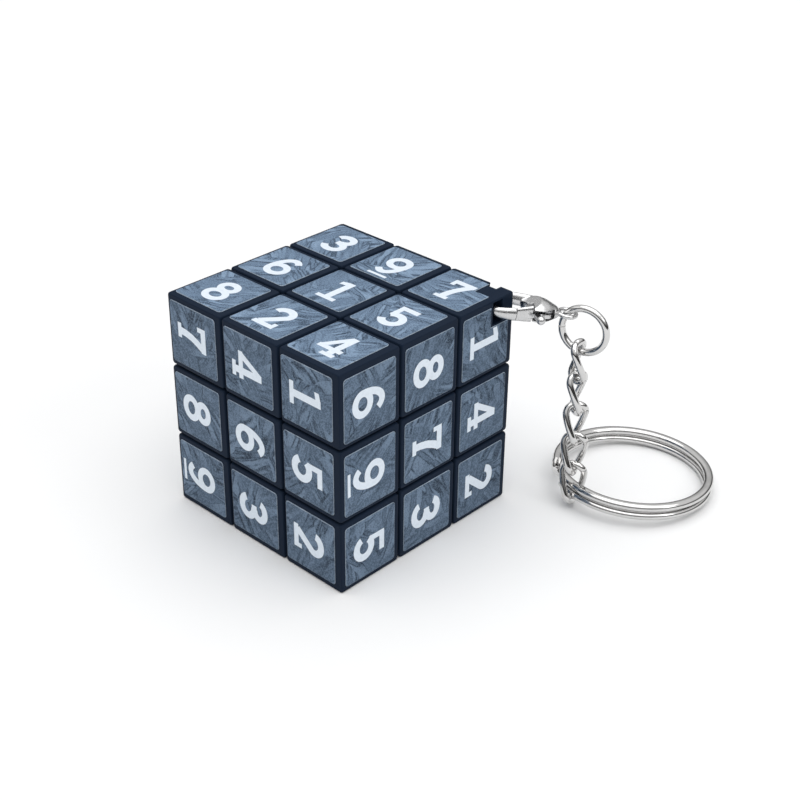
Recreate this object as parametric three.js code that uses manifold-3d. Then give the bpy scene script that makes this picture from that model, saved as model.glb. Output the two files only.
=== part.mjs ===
// Keychain puzzle cube: a turning cube of three layers, hung from a lug in one corner by a lobster
// clasp, a jump ring, a short chain of twisted links and a split key ring.
// Millimetres, +Z up. The origin is the centre of the cube's bottom face, on the table.
// The right face looks along +X and the back face along +Y.
import * as THREE from "three";
import { RoundedBoxGeometry } from "three/addons/geometries/RoundedBoxGeometry.js";
import { mergeVertices } from "three/addons/utils/BufferGeometryUtils.js";
import Module from "manifold-3d";

const wasm = await Module();
wasm.setup();

// Cubies and their feet
const CUBE_EDGE = 35;
const CUBIE_GAP = 0.3;
const CUBIE_ROUND = 0.45;
const SHELL_GAP = 0.6;
const NECK_RISE = 2.5;
const FOOT_DEPTH = 3.8;
const STEM_WALL = 0.7;
const CAP_THICKNESS = 2;
const CAP_PLUG = 0.3;
const PLUG_CLEARANCE = 0.3;

// Core, screws and springs
const CORE_RADIUS = 4.6;
const ARM_WALL = 1.4;
const SCREW_RADIUS = 0.8;
const SCREW_LENGTH = 10.2;
const SCREW_CLEARANCE = 0.35;
const HEAD_RADIUS = 1.9;
const HEAD_THICKNESS = 1.2;
const HEAD_ROOM = 0.6;
const DRIVE_LENGTH = 2.6;
const DRIVE_WIDTH = 0.5;
const DRIVE_DEPTH = 0.5;
const WELL_CLEARANCE = 0.45;
const WELL_FLOOR = 1.2;
const SPRING_WIRE = 0.5;
const SPRING_PITCH = 1.05;
const SPRING_CLEARANCE = 0.4;
const SPRING_SEAT = 0.1;

// Lug and clasp
const LUG_POST = 2.4;
const LUG_ROOF = 0.45;
const LUG_NOTCH = 1.2;
const HOOK_WIRE = 1.2;
const HOOK_HEIGHT = 2;
const HOOK_CLEARANCE = 0.3;
const HOOK_TIP = 1.5;
const HOOK_TAPER = 0.4;
const CLASP_TURN = 45;
const CLASP_TILT = 8.5;
const CLASP_REACH = 9.6;
const BODY_WIDTH = 5.4;
const BODY_HEIGHT = 1.7;
const BODY_DEPTH = 1.15;
const THROAT = 3.6;
const EYE_WIRE = 0.8;
const EYE_CLEARANCE = 0.35;

// Gate of the clasp, its pin and spring
const GATE_OPEN = 20;
const GATE_PIVOT_X = 6.3;
const GATE_PIVOT_Y = -1;
const GATE_ROOT = 2.5;
const GATE_HEIGHT = 2.6;
const GATE_TIP = 2;
const GATE_THICKNESS = 0.9;
const GATE_CLEARANCE = 0.3;
const HUB_RADIUS = 0.9;
const HUB_HEIGHT = 0.6;
const KNOB_RADIUS = 0.65;
const KNOB_STALK = 0.9;
const KNOB_BACK = 1.6;
const KNOB_REACH = 1.8;
const SLOT_FLOOR = 0.4;
const PIN_RADIUS = 0.35;
const GATE_SPRING_WIRE = 0.15;
const GATE_SPRING_PITCH = 0.25;
const GATE_SPRING_TURNS = 1.5;
const GATE_SPRING_SEAT = 0.05;

// Jump ring, chain links and split ring
const JUMP_DIAMETER = 8;
const JUMP_WIRE = 1.1;
const JUMP_TURN = 14;
const JUMP_SLIT = 0.25;
const JUMP_SLIT_ANGLE = 180;
const JUMP_EYE_ANGLE = 143;
const JUMP_CHAIN_ANGLE = 260;
const LINK_LENGTH = 7.36;
const LINK_WIDTH = 4.3;
const LINK_WIRE = 1.05;
const LINK_TWIST = 90;
const LINK_TURNS = [88, 68, 44, 25, 17];
const LINK_CLEARANCE = 0.25;
const CHAIN_LEAN = 4.2;
const CHAIN_LEAN_TOWARDS = -27;
const RING_DIAMETER = 25.2;
const RING_WIDTH = 1.65;
const RING_THICKNESS = 1.2;
const RING_COIL_GAP = 0.2;
const RING_DIRECTION = 76;
const RING_JOG_ANGLE = 22;
const RING_JOG_PLACE = 155;

const half = CUBE_EDGE / 2;
const cut = CUBE_EDGE / 6;
const gapHalf = CUBIE_GAP / 2;
const shellHalf = SHELL_GAP / 2;
const shellOuter = cut * Math.sqrt(3) + NECK_RISE;
const shellInner = shellOuter - FOOT_DEPTH;
const wellRadius = HEAD_RADIUS + WELL_CLEARANCE;
const stemHalf = wellRadius + STEM_WALL;
const footCut = stemHalf + CUBIE_GAP;
const capBase = half - CAP_THICKNESS;

// Facets of the round shapes
const WELD = 1e-4;
const ROUND_STEPS = 1;
const BALL_DETAIL = 2;
const INNER_DETAIL = 1;
const KNOB_DETAIL = 1;
const ROUND_SIDES = 12;
const THROAT_SIDES = 20;
const WIRE_SIDES = 8;
const BEND_POINTS = 8;
const HOOK_STEPS = 20;
const EYE_STEPS = 20;
const DOME_STEPS = 10;
const JUMP_STEPS = 24;
const LINK_STEPS = 24;
const LINK_SIDES = 6;
const RING_STEPS = 66;
const SPRING_STEPS = 8;
const SPRING_SIDES = 5;

const radians = THREE.MathUtils.degToRad;
const flat = (angle) => new THREE.Vector3(Math.cos(radians(angle)), Math.sin(radians(angle)), 0);
const UP = new THREE.Vector3(0, 0, 1);

// A closed geometry as a solid that can be joined and cut.
function solid(geometry) {
  const bare = geometry.clone();
  bare.deleteAttribute("normal");
  bare.deleteAttribute("uv");
  const merged = mergeVertices(bare, WELD);
  const vertProperties = new Float32Array(merged.attributes.position.array);
  const triVerts = new Uint32Array(merged.index.array);
  return new wasm.Manifold(new wasm.Mesh({ numProp: 3, vertProperties, triVerts }));
}

function geometryOf(shape) {
  const mesh = shape.getMesh();
  const geometry = new THREE.BufferGeometry();
  geometry.setAttribute("position", new THREE.BufferAttribute(mesh.vertProperties, 3));
  geometry.setIndex(new THREE.BufferAttribute(mesh.triVerts, 1));
  geometry.computeVertexNormals();
  return geometry;
}

// Blocks are given by their lowest and highest corners.
function block(low, high) {
  const size = high.map((value, axis) => value - low[axis]);
  const middle = high.map((value, axis) => (value + low[axis]) / 2);
  return solid(new THREE.BoxGeometry(...size).translate(...middle));
}

function roundBlock(low, high) {
  const size = high.map((value, axis) => value - low[axis]);
  const middle = high.map((value, axis) => (value + low[axis]) / 2);
  return solid(new RoundedBoxGeometry(...size, ROUND_STEPS, CUBIE_ROUND).translate(...middle));
}

function ball(radius, detail = BALL_DETAIL) {
  return solid(new THREE.IcosahedronGeometry(radius, detail));
}

// An upright round bar about the Z axis.
function bar(radius, bottom, top, sides = ROUND_SIDES) {
  const geometry = new THREE.CylinderGeometry(radius, radius, top - bottom, sides);
  return solid(geometry.rotateX(Math.PI / 2).translate(0, 0, (top + bottom) / 2));
}

function polygon(width, height, sides) {
  const corner = (index) => {
    const angle = ((index + 0.5) * 2 * Math.PI) / sides;
    return new THREE.Vector2((width / 2) * Math.cos(angle), (height / 2) * Math.sin(angle));
  };
  return new THREE.Shape(Array.from({ length: sides }, (_, index) => corner(index)));
}

function sweep(curve, section, steps) {
  return new THREE.ExtrudeGeometry(section, { steps, extrudePath: curve, bevelEnabled: false });
}

class Helix extends THREE.Curve {
  constructor(radius, pitch, turns) {
    super();
    Object.assign(this, { radius, pitch, turns });
  }

  getPoint(t, target = new THREE.Vector3()) {
    const angle = 2 * Math.PI * this.turns * t;
    const height = this.pitch * this.turns * t;
    return target.set(this.radius * Math.cos(angle), this.radius * Math.sin(angle), height);
  }
}

// The split ring's wire: one flat turn, a jog up to the second layer, and a second flat turn.
class SplitCoil extends THREE.Curve {
  getPoint(t, target = new THREE.Vector3()) {
    const turn = 720 - RING_JOG_ANGLE;
    const angle = turn * t;
    const climb = THREE.MathUtils.smoothstep(angle, 360 - RING_JOG_ANGLE, 360);
    const height = (climb - 0.5) * (RING_THICKNESS + RING_COIL_GAP);
    const place = radians(angle + RING_JOG_PLACE + RING_JOG_ANGLE / 2);
    return target.set(ringRadius * Math.cos(place), ringRadius * Math.sin(place), height);
  }
}

// The middle line of a link: an oval with round ends, turned about its length from end to end.
class TwistedOval extends THREE.Curve {
  getPoint(t, target = new THREE.Vector3()) {
    const endRadius = (LINK_WIDTH - LINK_WIRE) / 2;
    const straight = linkReach - endRadius;
    const arc = Math.PI * endRadius;
    const along = ((((t % 1) + 1) % 1) * 2 * (arc + 2 * straight)) % (arc + 2 * straight);
    const side = t % 1 < 0.5 ? 1 : -1;
    let across = endRadius;
    let height = along - straight;
    if (along > 2 * straight) {
      const angle = (along - 2 * straight) / endRadius;
      across = endRadius * Math.cos(angle);
      height = straight + endRadius * Math.sin(angle);
    }
    const twist = (-radians(LINK_TWIST) * side * height) / (2 * linkReach);
    target.set(across * Math.cos(twist), across * Math.sin(twist), height);
    return target.multiply(new THREE.Vector3(side, side, side));
  }
}

const MATERIALS = {
  plastic: { color: 0x14171f, roughness: 0.35, metalness: 0 },
  inner: { color: 0x1b1c20, roughness: 0.5, metalness: 0 },
  steel: { color: 0xb9bcc2, roughness: 0.3, metalness: 1 },
  nickel: { color: 0xd3d2d0, roughness: 0.12, metalness: 1 },
};

function part(name, shape, finish) {
  const geometry = shape.isBufferGeometry ? shape : geometryOf(shape);
  const mesh = new THREE.Mesh(geometry, new THREE.MeshStandardMaterial(MATERIALS[finish]));
  mesh.name = name;
  return mesh;
}

// A corner: the cubie and a foot that reaches under its neighbours.
function cornerSolid() {
  const inner = cut + gapHalf;
  const cubie = roundBlock([inner, inner, inner], [half, half, half]);
  const foot = block([footCut, footCut, footCut], [shellOuter, shellOuter, shellOuter]);
  const shell = ball(shellOuter - shellHalf).subtract(ball(shellInner + shellHalf, INNER_DETAIL));
  return cubie.add(foot.intersect(shell));
}

// The lug: a square post at the vertex, cut free by a round tunnel for the hook. The tunnel's mouth
// in the back face is open at the top.
function lugTunnel() {
  const tunnel = bar(tunnelRadius, lugZ - tunnelHalf, lugZ + tunnelHalf, THROAT_SIDES);
  const post = block(
    [-LUG_POST / 2, -LUG_POST / 2, lugZ - 2 * tunnelHalf],
    [LUG_POST, LUG_POST, lugZ + 2 * tunnelHalf],
  );
  const notch = block(
    [-hookRadius - HOOK_WIRE / 2, LUG_POST / 2 - LUG_NOTCH, lugZ],
    [-LUG_POST / 2, LUG_POST, lugZ + 2 * tunnelHalf],
  );
  return tunnel.subtract(post).add(notch).translate([lugXY, lugXY, 0]);
}

// An edge, at the back of the top layer.
function edgeSolid() {
  const inner = cut + gapHalf;
  const side = cut - gapHalf;
  const cubie = roundBlock([-side, inner, inner], [side, half, half]);
  const neckTop = half - 2 * CUBIE_ROUND;
  const neck = block([-stemHalf, inner, inner], [stemHalf, neckTop, neckTop]);
  const foot = block([-stemHalf, footCut, footCut], [stemHalf, shellOuter, shellOuter]);
  const shell = ball(shellOuter - shellHalf).subtract(ball(shellInner + shellHalf, INNER_DETAIL));
  return cubie.subtract(ball(shellOuter + shellHalf)).add(neck).add(foot.intersect(shell));
}

// A centre of the top layer: the block, the stem below it and the well for screw and spring.
function centreSolid() {
  const side = cut - gapHalf;
  const plate = roundBlock([-side, -side, cut], [side, side, half]);
  const below = block([-cut, -cut, 0], [cut, cut, capBase]);
  const stem = block([-stemHalf, -stemHalf, stemBase], [stemHalf, stemHalf, capBase]);
  const well = bar(wellRadius, wellFloor, half);
  const hole = bar(screwHole, 0, half);
  const top = plate.intersect(below).subtract(ball(shellOuter + shellHalf));
  return top.add(stem).subtract(well).subtract(hole);
}

// The cap closes the well and carries the centre's tile.
function capSolid() {
  const side = cut - gapHalf;
  const plate = roundBlock([-side, -side, cut], [side, side, half]);
  const above = block([-cut, -cut, capBase], [cut, cut, half + cut]);
  const plug = bar(wellRadius - PLUG_CLEARANCE, capBase - CAP_PLUG, capBase + CAP_PLUG);
  return plate.intersect(above).add(plug);
}

function screwSolid() {
  const head = bar(HEAD_RADIUS, headBase, headBase + HEAD_THICKNESS);
  const shank = bar(SCREW_RADIUS, headBase - SCREW_LENGTH, headBase + HEAD_THICKNESS / 2);
  const top = headBase + HEAD_THICKNESS;
  const long = DRIVE_LENGTH / 2;
  const wide = DRIVE_WIDTH / 2;
  const across = block([-long, -wide, top - DRIVE_DEPTH], [long, wide, top + DRIVE_DEPTH]);
  const down = block([-wide, -long, top - DRIVE_DEPTH], [wide, long, top + DRIVE_DEPTH]);
  return head.add(shank).subtract(across).subtract(down);
}

// The spring winds up from the well's floor to the screw's head.
function springGeometry() {
  const radius = SCREW_RADIUS + SPRING_CLEARANCE + SPRING_WIRE / 2;
  const room = headBase - wellFloor - 2 * SPRING_SEAT - SPRING_WIRE;
  const turns = room / SPRING_PITCH;
  const helix = new Helix(radius, SPRING_PITCH, turns);
  const wire = polygon(SPRING_WIRE, SPRING_WIRE, SPRING_SIDES);
  const coil = sweep(helix, wire, Math.round(SPRING_STEPS * turns));
  console.log("spring: least gap between turns", (SPRING_PITCH - SPRING_WIRE).toFixed(2), "mm");
  return coil.translate(0, 0, wellFloor + SPRING_SEAT + SPRING_WIRE / 2);
}

function coreSolid() {
  const arm = bar(screwHole + ARM_WALL, 0, shellInner - gapHalf);
  const hole = bar(screwHole, headBase - SCREW_LENGTH - SCREW_CLEARANCE, half);
  const toSides = [[0, 0, 0], [180, 0, 0], [90, 0, 0], [-90, 0, 0], [0, 90, 0], [0, -90, 0]];
  let core = ball(CORE_RADIUS, INNER_DETAIL);
  for (const turn of toSides) core = core.add(arm.rotate(turn));
  for (const turn of toSides) core = core.subtract(hole.rotate(turn));
  return core;
}

// The clasp is drawn about the lug's post: X runs out to the eye, Y to the hook's far strand.
function hookGeometry() {
  const points = [new THREE.Vector3(THROAT + HOOK_WIRE, hookRadius - HOOK_TAPER, 0)];
  points.push(new THREE.Vector3(THROAT / 2, hookRadius, 0));
  for (let index = 0; index <= BEND_POINTS; index += 1) {
    points.push(flat(90 + (180 * index) / BEND_POINTS).multiplyScalar(hookRadius));
  }
  points.push(new THREE.Vector3(HOOK_TIP, -hookRadius, 0));
  const curve = new THREE.CatmullRomCurve3(points);
  return sweep(curve, polygon(HOOK_HEIGHT, HOOK_WIRE, WIRE_SIDES), HOOK_STEPS);
}

function bodyDome() {
  const start = THROAT - HOOK_WIRE;
  const length = CLASP_REACH - eyeRadius + EYE_WIRE / 2 - start;
  const front = [[0, 0], [0.05, 0.5], [0.18, 0.86], [0.38, 1]];
  const back = [[0.6, 0.93], [0.8, 0.66], [0.95, 0.36], [1, 0]];
  const at = ([share, width]) => new THREE.Vector2((width * BODY_WIDTH) / 2, -start - share * length);
  const curve = new THREE.SplineCurve([...front, ...back].map(at));
  const profile = curve.getPoints(DOME_STEPS);
  profile[0].x = 0;
  profile[profile.length - 1].x = 0;
  const dome = new THREE.LatheGeometry(profile.reverse(), ROUND_SIDES).rotateZ(Math.PI / 2);
  return solid(dome.scale(1, 1, (2 * BODY_HEIGHT) / BODY_WIDTH));
}

function claspBodySolid() {
  const eye = new THREE.TorusGeometry(eyeRadius, EYE_WIRE / 2, WIRE_SIDES, EYE_STEPS);
  eye.translate(CLASP_REACH, 0, 0);
  const tall = 2 * BODY_HEIGHT;
  const far = CLASP_REACH;
  const sole = block([-far, -far, -tall], [2 * far, far, -BODY_DEPTH]);
  const throatEnd = THROAT - hookInner;
  const throat = bar(hookInner, -tall, tall, THROAT_SIDES)
    .add(block([0, -hookInner, -tall], [throatEnd, hookInner, tall]))
    .add(bar(hookInner, -tall, tall, THROAT_SIDES).translate([throatEnd, 0, 0]));
  const halfThick = GATE_THICKNESS / 2;
  const openAngle = gateRest - radians(GATE_OPEN);
  const mouthEnd = GATE_PIVOT_X - GATE_ROOT * Math.cos(gateRest) + halfThick * Math.sin(gateRest);
  const mouthSide = GATE_PIVOT_Y - gateLength * Math.sin(openAngle) + halfThick;
  const mouth = block(
    [0, -far, -tall],
    [mouthEnd + GATE_CLEARANCE, mouthSide + GATE_CLEARANCE, tall],
  );
  const slotEnd = GATE_PIVOT_X + HUB_RADIUS + GATE_CLEARANCE;
  const slotSide = GATE_PIVOT_Y + HUB_RADIUS + GATE_CLEARANCE;
  const slot = block([0, -far, slotFloor], [slotEnd, slotSide, slotRoof]);
  let body = bodyDome();
  for (const cutter of [sole, throat, mouth, slot]) body = body.subtract(cutter);
  return body.add(solid(hookGeometry())).add(solid(eye));
}

// The gate closes the hook's mouth: a tapered arm from the hook's tip to a hub on the pin, with a
// thumb knob. It is drawn about the pin, with its arm along -X.
function gateSolid() {
  const length = gateLength - GATE_ROOT;
  const taper = new THREE.CylinderGeometry(GATE_TIP / 2, GATE_HEIGHT / 2, length, ROUND_SIDES);
  taper.rotateZ(Math.PI / 2).scale(1, GATE_THICKNESS / GATE_HEIGHT, 1);
  const arm = solid(taper.translate(-GATE_ROOT - length / 2, 0, 0));
  const halfThick = GATE_THICKNESS / 2;
  const neck = block([-GATE_ROOT - halfThick, -halfThick, hubBase], [0, halfThick, hubTop]);
  const hub = bar(HUB_RADIUS, hubBase, hubTop);
  const stalk = block(
    [-KNOB_BACK - KNOB_STALK / 2, -KNOB_REACH, hubBase],
    [-KNOB_BACK + KNOB_STALK / 2, 0, hubTop],
  );
  const knob = solid(new THREE.IcosahedronGeometry(KNOB_RADIUS, KNOB_DETAIL));
  const thumb = knob.translate([-KNOB_BACK, -KNOB_REACH, (hubBase + hubTop) / 2]);
  const bore = bar(PIN_RADIUS + GATE_CLEARANCE, -BODY_HEIGHT, BODY_HEIGHT);
  return arm.add(neck).add(hub).add(stalk).add(thumb).subtract(bore);
}

// The pin stands in the body's slot, from its floor to its roof.
function pinSolid() {
  return bar(PIN_RADIUS, slotFloor, slotRoof);
}

function gateSpringGeometry() {
  const radius = PIN_RADIUS + GATE_CLEARANCE + GATE_SPRING_WIRE / 2;
  const helix = new Helix(radius, GATE_SPRING_PITCH, GATE_SPRING_TURNS);
  const wire = polygon(GATE_SPRING_WIRE, GATE_SPRING_WIRE, SPRING_SIDES);
  const coil = sweep(helix, wire, SPRING_STEPS * GATE_SPRING_TURNS);
  return coil.translate(0, 0, hubTop + GATE_SPRING_SEAT + GATE_SPRING_WIRE / 2);
}

// The jump ring is drawn in the XZ plane and lies open by its slit.
function jumpRingGeometry() {
  const slit = JUMP_SLIT / jumpRadius / 2;
  const start = radians(JUMP_SLIT_ANGLE) + slit;
  const arc = new Helix(jumpRadius, 0, 1 - slit / Math.PI);
  const wire = polygon(JUMP_WIRE, JUMP_WIRE, WIRE_SIDES);
  return sweep(arc, wire, JUMP_STEPS).rotateZ(start).rotateX(Math.PI / 2);
}

function linkGeometry() {
  return new THREE.TubeGeometry(new TwistedOval(), LINK_STEPS, LINK_WIRE / 2, LINK_SIDES, true);
}

// The flats of the wire's section lie at its full width and thickness.
function splitRingGeometry() {
  const flats = Math.cos(Math.PI / WIRE_SIDES);
  const wire = polygon(RING_THICKNESS / flats, RING_WIDTH / flats, WIRE_SIDES);
  return sweep(new SplitCoil(), wire, RING_STEPS);
}

// Sizes that follow from the driving dimensions
const stemBase = shellInner + gapHalf;
const wellFloor = stemBase + WELL_FLOOR;
const headBase = capBase - HEAD_ROOM - HEAD_THICKNESS;
const screwHole = SCREW_RADIUS + SCREW_CLEARANCE;
const hookInner = LUG_POST / Math.SQRT2 + HOOK_CLEARANCE;
const hookRadius = hookInner + HOOK_WIRE / 2;
const tunnelRadius = hookRadius + HOOK_WIRE / 2 + HOOK_CLEARANCE;
const hookDrop = (hookRadius + HOOK_WIRE / 2) * Math.sin(radians(CLASP_TILT));
const tunnelHalf = HOOK_HEIGHT / 2 + hookDrop + HOOK_CLEARANCE;
const lugXY = half - LUG_POST / 2;
const lugZ = half - LUG_ROOF - tunnelHalf;
const eyeRadius = JUMP_WIRE / 2 + EYE_CLEARANCE + EYE_WIRE / 2;
const gateReach = GATE_PIVOT_X - HOOK_TIP - GATE_CLEARANCE;
const gateRest = Math.atan2(GATE_PIVOT_Y + hookRadius, gateReach);
const gateLength = Math.hypot(GATE_PIVOT_Y + hookRadius, gateReach);
const slotFloor = SLOT_FLOOR - BODY_DEPTH;
const springHeight = GATE_SPRING_PITCH * GATE_SPRING_TURNS + GATE_SPRING_WIRE;
const hubBase = slotFloor + GATE_CLEARANCE;
const hubTop = hubBase + HUB_HEIGHT;
const slotRoof = hubTop + springHeight + 2 * GATE_SPRING_SEAT;
const jumpRadius = (JUMP_DIAMETER - JUMP_WIRE) / 2;
const linkReach = (LINK_LENGTH - LINK_WIRE) / 2;
const ringRadius = (RING_DIAMETER - RING_WIDTH) / 2;
const ringStack = 2 * RING_THICKNESS + RING_COIL_GAP;

const puzzle = new THREE.Group();
const cube = new THREE.Group();
cube.position.set(0, 0, half);
puzzle.add(cube);

// A copy of a piece, turned about X, then Y, then Z, in degrees.
function place(name, shape, finish, turn) {
  const mesh = part(name, shape, finish);
  mesh.rotation.set(...turn.map(radians), "ZYX");
  cube.add(mesh);
}

const CORNERS = {
  top_back_right: [0, 0, 0],
  top_back_left: [0, 0, 90],
  top_front_left: [0, 0, 180],
  top_front_right: [0, 0, 270],
  bottom_front_right: [180, 0, 0],
  bottom_back_right: [180, 0, 90],
  bottom_back_left: [180, 0, 180],
  bottom_front_left: [180, 0, 270],
};
const EDGES = {
  top_back: [0, 0, 0],
  top_left: [0, 0, 90],
  top_front: [0, 0, 180],
  top_right: [0, 0, 270],
  bottom_front: [180, 0, 0],
  bottom_right: [180, 0, 90],
  bottom_back: [180, 0, 180],
  bottom_left: [180, 0, 270],
  back_right: [0, 90, 0],
  back_left: [0, 90, 90],
  front_left: [0, 90, 180],
  front_right: [0, 90, 270],
};
const FACES = {
  top: [0, 0, 0],
  bottom: [180, 0, 0],
  back: [-90, 0, 0],
  front: [90, 0, 0],
  right: [0, 90, 0],
  left: [0, -90, 0],
};
const LUG_CORNER = "top_back_right";

cube.add(part("core_spider", coreSolid(), "inner"));
const corner = cornerSolid();
const lugCorner = corner.subtract(lugTunnel());
for (const [where, turn] of Object.entries(CORNERS)) {
  const shape = where === LUG_CORNER ? lugCorner : corner;
  const name = where === LUG_CORNER ? `corner_${where}_lug` : `corner_${where}`;
  place(name, shape, "plastic", turn);
}
const edge = edgeSolid();
for (const [where, turn] of Object.entries(EDGES)) place(`edge_${where}`, edge, "plastic", turn);
const centre = centreSolid();
const cap = capSolid();
const screw = screwSolid();
const spring = springGeometry();
for (const [where, turn] of Object.entries(FACES)) {
  place(`centre_${where}`, centre, "plastic", turn);
  place(`centre_cap_${where}`, cap, "plastic", turn);
  place(`screw_${where}`, screw, "steel", turn);
  place(`spring_${where}`, spring, "steel", turn);
}

// The clasp hangs on the post, tilted down and outwards.
const clasp = new THREE.Group();
clasp.position.set(lugXY, lugXY, half + lugZ);
clasp.rotation.set(0, radians(CLASP_TILT), radians(CLASP_TURN), "ZYX");
puzzle.add(clasp);
const gate = part("clasp_gate", gateSolid(), "nickel");
const pin = part("clasp_pin", pinSolid(), "nickel");
const gateSpring = part("clasp_spring", gateSpringGeometry(), "steel");
for (const piece of [gate, pin, gateSpring]) piece.position.set(GATE_PIVOT_X, GATE_PIVOT_Y, 0);
gate.rotation.z = gateRest;
clasp.add(part("clasp_body", claspBodySolid(), "nickel"), gate, pin, gateSpring);
clasp.updateMatrixWorld(true);

// The jump ring goes through the clasp's eye, and the chain hangs from it, leaning a little.
const onRing = (angle) =>
  flat(JUMP_TURN).multiplyScalar(jumpRadius * Math.cos(radians(angle)))
    .addScaledVector(UP, jumpRadius * Math.sin(radians(angle)));
const jumpCentre = new THREE.Vector3(CLASP_REACH, 0, 0)
  .applyMatrix4(clasp.matrixWorld)
  .sub(onRing(JUMP_EYE_ANGLE));
const jumpRing = part("jump_ring", jumpRingGeometry(), "nickel");
jumpRing.position.copy(jumpCentre);
jumpRing.rotation.z = radians(JUMP_TURN);
puzzle.add(jumpRing);

// Each link's top goes over the wire that carries it.
const chain = new THREE.Group();
chain.position.copy(jumpCentre).add(onRing(JUMP_CHAIN_ANGLE));
chain.setRotationFromAxisAngle(flat(CHAIN_LEAN_TOWARDS - 90), radians(CHAIN_LEAN));
puzzle.add(chain);
let hang = (JUMP_WIRE - LINK_WIRE) / 2;
LINK_TURNS.forEach((turn, index) => {
  const link = part(`chain_link_${index + 1}`, linkGeometry(), "nickel");
  hang += LINK_WIRE + LINK_CLEARANCE - linkReach;
  link.position.set(0, 0, hang);
  link.rotation.z = radians(turn + LINK_TWIST / 2);
  chain.add(link);
  hang -= linkReach;
});
chain.updateMatrixWorld(true);

// The split ring goes through the last link and lies with its far side on the table.
const seat = new THREE.Vector3(0, 0, hang).applyMatrix4(chain.matrixWorld);
const ringLow = seat.z + LINK_WIRE / 2 + LINK_CLEARANCE;
const ringTilt = Math.asin(ringLow / (2 * ringRadius + RING_WIDTH / 2));
const splitRing = part("split_ring", splitRingGeometry(), "nickel");
const ringTurn = new THREE.Group();
ringTurn.position.set(seat.x, seat.y, ringLow + ringStack / 2);
ringTurn.rotation.set(0, ringTilt, radians(RING_DIRECTION), "ZYX");
splitRing.position.set(ringRadius, 0, 0);
ringTurn.add(splitRing);
puzzle.add(ringTurn);

export default puzzle;
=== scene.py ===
# %% [markdown]
# # A number puzzle cube on a key chain
#
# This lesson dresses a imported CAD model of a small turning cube. The CAD gives the places, the
# sizes and the joints. Blender adds what the camera notices: soft edges, foil tiles, digits and
# polished wire. Every new piece rides on a CAD body, so one scene serves every pose.

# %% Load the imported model
import math

import bpy
from mathutils import Matrix, Vector
from mathutils.geometry import delaunay_2d_cdt


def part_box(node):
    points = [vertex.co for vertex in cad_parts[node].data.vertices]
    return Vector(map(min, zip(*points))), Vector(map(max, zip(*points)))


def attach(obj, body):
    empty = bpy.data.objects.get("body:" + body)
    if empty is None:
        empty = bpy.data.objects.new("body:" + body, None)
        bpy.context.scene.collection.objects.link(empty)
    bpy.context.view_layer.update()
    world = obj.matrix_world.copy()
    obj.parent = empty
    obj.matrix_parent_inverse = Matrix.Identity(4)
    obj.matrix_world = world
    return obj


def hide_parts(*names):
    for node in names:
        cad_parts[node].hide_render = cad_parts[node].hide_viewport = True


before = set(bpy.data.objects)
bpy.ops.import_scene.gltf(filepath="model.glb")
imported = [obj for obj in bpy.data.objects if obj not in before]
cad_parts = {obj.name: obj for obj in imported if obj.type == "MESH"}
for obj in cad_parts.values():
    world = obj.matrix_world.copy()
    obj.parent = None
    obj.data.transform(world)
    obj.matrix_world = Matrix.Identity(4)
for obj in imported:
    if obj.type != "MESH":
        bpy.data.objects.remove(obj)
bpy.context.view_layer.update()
MM = 0.001

# %% [markdown]
# ## The camera
#
# The camera comes first, because it says which surfaces need the most care. Its place was worked
# out from the seven corners of the cube that the photograph shows. The turn is written as three
# plain rotations: about the upright, down towards the table, and a small roll.

# %% Set the camera
HALF = 17.5
CUBE_CENTRE = Vector((0, 0, HALF))
CAMERA_PLACE = Vector((134.89, -130.58, 126.05))
CAMERA_AZIMUTH, CAMERA_ELEVATION, CAMERA_ROLL = 43.315, 30.132, 0.592
CAMERA_LENS, CAMERA_NEAR = 65.79, 5.0


def turned(axis, degrees):
    """A rotation about one axis, as a matrix."""
    return Matrix.Rotation(math.radians(degrees), 4, axis)


bpy.ops.object.camera_add()
camera = bpy.context.object
camera.matrix_world = (
    Matrix.Translation(CAMERA_PLACE * MM)
    @ turned("Z", CAMERA_AZIMUTH)
    @ turned("X", 90 - CAMERA_ELEVATION)
    @ turned("Z", CAMERA_ROLL)
)
camera.data.lens = CAMERA_LENS
camera.data.clip_start = CAMERA_NEAR * MM
bpy.context.scene.camera = camera
print("camera at", [round(v, 4) for v in camera.location])

# %% [markdown]
# ## Shader sums in plain Python
#
# A material is a graph of nodes. Two small classes keep that graph short to write. Wire stands for
# one output and turns + - * into Math nodes. Finish is a material with one method, node, that adds
# any node. The methods after it are short names for the nodes that come up most.

# %% Wires
class Wire:
    """One output of a node, ready to be used in a sum."""

    def __init__(self, finish, socket):
        self.finish, self.socket = finish, socket

    def maths(self, operation, first, second):
        return self.finish.node("Math", {"operation": operation}, {0: first, 1: second})

    def __add__(self, other):
        return self.maths("ADD", self, other)

    def __radd__(self, other):
        return self.maths("ADD", other, self)

    def __sub__(self, other):
        return self.maths("SUBTRACT", self, other)

    def __rsub__(self, other):
        return self.maths("SUBTRACT", other, self)

    def __mul__(self, other):
        return self.maths("MULTIPLY", self, other)

    def __rmul__(self, other):
        return self.maths("MULTIPLY", other, self)


print("a wire can add, subtract and multiply")

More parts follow.
